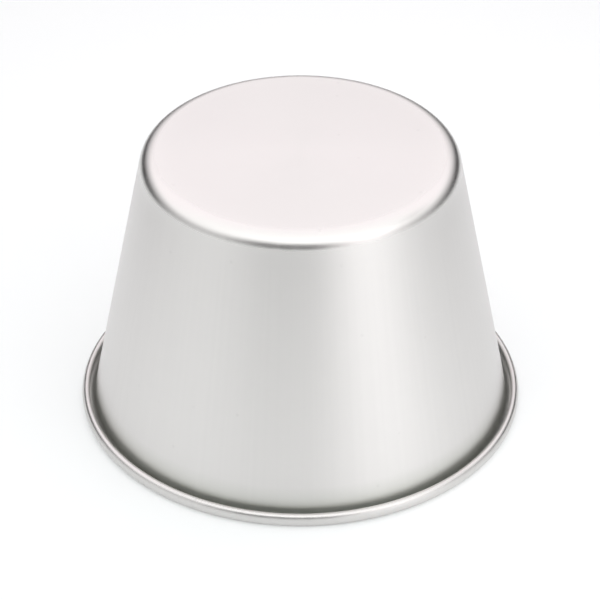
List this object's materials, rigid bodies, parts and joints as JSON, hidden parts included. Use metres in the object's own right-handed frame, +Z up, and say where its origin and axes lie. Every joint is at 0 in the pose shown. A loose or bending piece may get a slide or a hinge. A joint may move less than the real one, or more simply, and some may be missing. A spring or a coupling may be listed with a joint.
{
  "type": "pudding cup mould",
  "caption": "Round, tapered pudding cup mould in thin satin sheet metal, with a flat base, a rounded base corner and an edge curled outwards over a wire, standing mouth down.",
  "frame": {"origin": "middle of the mouth, on the plane that the curled edge rests on", "axes": "+Z up along the mould's axis, from the mouth to the base, as it stands mouth down in the picture; -Y faces the picture's camera and +X is its right"},
  "size_m": [0.076, 0.076, 0.0487],
  "materials": {
    "cup_body": "satin anodised drawn sheet, fine grain, soft reflections",
    "rim_wire": "dull galvanised wire"
  },
  "bodies": {
    "root": {"cup_body": "cup_body", "rim_wire": "rim_wire"}
  },
  "joints": []
}
